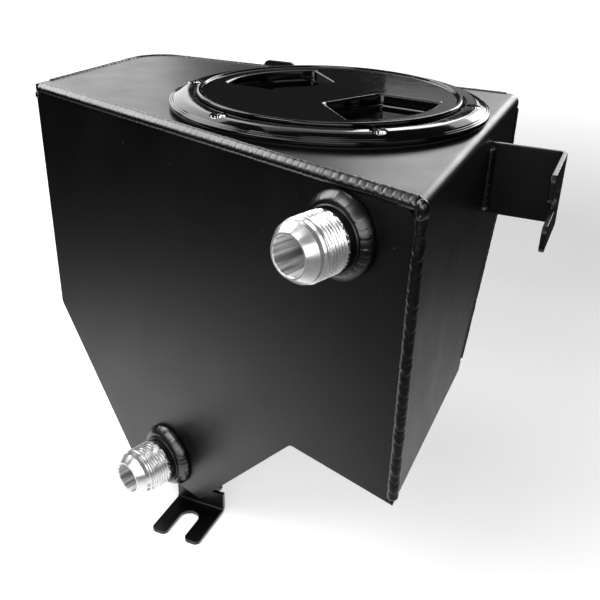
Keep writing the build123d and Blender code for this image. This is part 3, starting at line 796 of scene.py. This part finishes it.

# How the floor mirrors: painted pools of light that the floor gives off to reflected rays alone, each with its
# centre, squeeze, reach, steepness and brightness
light_pools = [((-0.09, 0.0, 0.0), (0.87, 1.45, 1.0), 0.22, 3.4, 1.5),
               ((0.23, 0.2, 0.0), (1.0, 1.0, 1.0), 0.2, 3.0, 0.4)]

# Light added to the floor for the camera alone, white far off. It is kept low round a spot behind the object's
# right side, which lets the real shadow show and paints a soft shade there as well
shadow_centre, shadow_near, shadow_far = (0.14, 0.65, 0.0), 0.1, 1.2
floor_lift = 0.2
room_light, room_mirrored = 0.12, 0.03


def pale_floor():
    """A matt white sheet. It stays white to the camera and keeps the shadow, with a painted shade behind the
    object's right side, and mirrors as painted pools of light that it gives off to reflected rays alone.
    """
    made, tree, place = new_material("matt_white_paper")
    fibre = add(tree, "ShaderNodeTexNoise", {"Vector": place, "Scale": 1 / (60 * mm), "Detail": 2.0})
    tone = add(tree, "ShaderNodeMix", {
        "Factor": fibre.outputs[0], tone_a: colour("#efefef"), tone_b: colour("#f2f2f2")}, data_type="RGBA")
    seen = add(tree, "ShaderNodeLightPath")
    glow = 0.0
    # painted pools of light: the floor glows to reflected rays alone, though no lamp is there
    for centre, squeeze, reach, fall, strength in light_pools:
        off = add(tree, "ShaderNodeVectorMath", {0: place, 1: centre}, operation="SUBTRACT")
        squeezed = add(tree, "ShaderNodeVectorMath", {0: off.outputs[0], 1: squeeze}, operation="MULTIPLY")
        away = add(tree, "ShaderNodeVectorMath", {0: squeezed.outputs[0]}, operation="LENGTH")
        ratio = add(tree, "ShaderNodeMath", {0: away.outputs["Value"], 1: reach}, operation="DIVIDE")
        steep = add(tree, "ShaderNodeMath", {0: ratio.outputs[0], 1: fall}, operation="POWER")
        spread = add(tree, "ShaderNodeMath", {0: steep.outputs[0], 1: 1.0}, operation="ADD")
        pool = add(tree, "ShaderNodeMath", {0: strength, 1: spread.outputs[0]}, operation="DIVIDE")
        glow = add(tree, "ShaderNodeMath", {0: pool.outputs[0], 1: glow}, operation="ADD").outputs[0]
    # the camera's added light falls off round shadow_centre: a painted shade on the floor there
    away = add(tree, "ShaderNodeVectorMath", {0: place, 1: shadow_centre}, operation="DISTANCE")
    shown = add(tree, "ShaderNodeMix", {
        "Factor": seen.outputs["Is Glossy Ray"], tone_a: tone.outputs[mixed], tone_b: colour("#000000")},
        data_type="RGBA")
    level = add(tree, "ShaderNodeMapRange", {
        "Value": away.outputs["Value"], "From Min": shadow_near, "From Max": shadow_far,
        "To Min": floor_lift, "To Max": 1.0})
    lift = add(tree, "ShaderNodeMath", {
        0: seen.outputs["Is Camera Ray"], 1: level.outputs[0]}, operation="MULTIPLY")
    both = add(tree, "ShaderNodeMath", {
        0: seen.outputs["Is Glossy Ray"], 1: glow, 2: lift.outputs[0]}, operation="MULTIPLY_ADD")
    finish_material(tree, add(tree, "ShaderNodeBsdfPrincipled", {
        "Base Color": shown.outputs[mixed], "Roughness": 0.9, "Specular IOR Level": 0.1,
        "Emission Color": colour("#ffffff"), "Emission Strength": both.outputs[0]}))
    half = 8.0
    corners = [Vector((x * half, y * half, 0)) for x, y in ((-1, -1), (1, -1), (1, 1), (-1, 1))]
    floor = mesh_piece("floor", corners, [(0, 1, 2, 3)], made)
    floor.location.z = cad_box[0].z - 0.05 * mm


def studio_world():
    """White behind the object for the camera, a dim room for light and reflections."""
    world = bpy.data.worlds.new("studio")
    bpy.context.scene.world = world
    world.use_nodes = True
    tree = world.node_tree
    tree.nodes.clear()
    seen = add(tree, "ShaderNodeLightPath")
    mirrored = add(tree, "ShaderNodeMath", {
        0: seen.outputs["Is Glossy Ray"], 1: seen.outputs["Is Transmission Ray"]}, operation="MAXIMUM")
    dim = add(tree, "ShaderNodeMapRange", {
        "Value": mirrored.outputs[0], "To Min": room_light, "To Max": room_mirrored})
    shown = add(tree, "ShaderNodeMath", {
        0: dim.outputs[0], 1: seen.outputs["Is Camera Ray"]}, operation="MAXIMUM")
    back = add(tree, "ShaderNodeBackground", {"Color": colour("#ffffff"), "Strength": shown.outputs[0]})
    add(tree, "ShaderNodeOutputWorld", {"Surface": back.outputs[0]})


def softbox(name, azimuth, elevation, distance, width, height, brightness):
    """A rectangular lamp that faces the object. Azimuth 0 is +Y and 90 is +X, in degrees."""
    light = bpy.data.lights.new(name, "AREA")
    light.shape = "RECTANGLE"
    light.size, light.size_y = width, height
    light.energy = math.pi * brightness * width * height
    lamp = bpy.data.objects.new(name, light)
    bpy.context.collection.objects.link(lamp)
    a, e = math.radians(azimuth), math.radians(elevation)
    away = Vector((math.sin(a) * math.cos(e), math.cos(a) * math.cos(e), math.sin(e))) * distance
    lamp.location = away + middle
    lamp.rotation_euler = (middle - lamp.location).to_track_quat("-Z", "Y").to_euler()
    lamp.visible_camera = False
    return lamp


# Each lamp's name, azimuth, elevation, distance, width, height, and how bright its face looks.
# The cards behind the object are seen in its coat and plastic, and kept off the floor.
mirror_cards = [("back_left_box", -50.0, 27.0, 1.6, 1.0, 1.05, 2.1),
                ("back_middle_card", -21.0, 42.0, 1.8, 0.75, 1.1, 0.8),
                ("back_right_card", -9.0, 11.0, 1.8, 0.3, 0.4, 0.35),
                ("back_high_box", -8.0, 28.0, 1.8, 0.42, 0.4, 5.5),
                ("back_right_box", 10.0, 24.0, 1.8, 0.8, 0.8, 2.2),
                ("back_right_spot", 15.0, 19.0, 1.7, 0.6, 0.55, 5.0)]
room_lamps = [("left_box", -88.0, 40.0, 1.4, 0.6, 0.9, 5.5),
              ("overhead_box", 0.0, 88.0, 1.6, 0.4, 0.4, 3.5),
              ("key_box", -150.0, 47.0, 1.6, 0.8, 0.75, 5.5),
              ("right_card", 108.0, 25.0, 1.6, 1.0, 0.8, 0.8),
              ("front_card", 163.0, 20.0, 1.3, 1.15, 0.7, 2.8)]


def photo_camera():
    """The camera's place and turn, fitted to the photograph."""
    data = bpy.data.cameras.new("camera")
    data.lens = 48.0
    data.shift_x, data.shift_y = -0.0207, 0.0361
    camera = bpy.data.objects.new("camera", data)
    bpy.context.collection.objects.link(camera)
    heading, tilt, roll = math.radians(21.35), math.radians(-27.95), math.radians(2.19)
    turn = (Matrix.Rotation(heading, 4, "Z") @ Matrix.Rotation(math.pi / 2 + tilt, 4, "X")
            @ Matrix.Rotation(roll, 4, "Z"))
    camera.matrix_world = Matrix.Translation(Vector((0.2405, -0.3947, 0.4035))) @ turn
    bpy.context.scene.camera = camera


pale_floor()
studio_world()
for card in mirror_cards:
    softbox(*card).visible_diffuse = False
for lamp in room_lamps:
    softbox(*lamp)
photo_camera()
bpy.context.scene.view_settings.view_transform = "Standard"
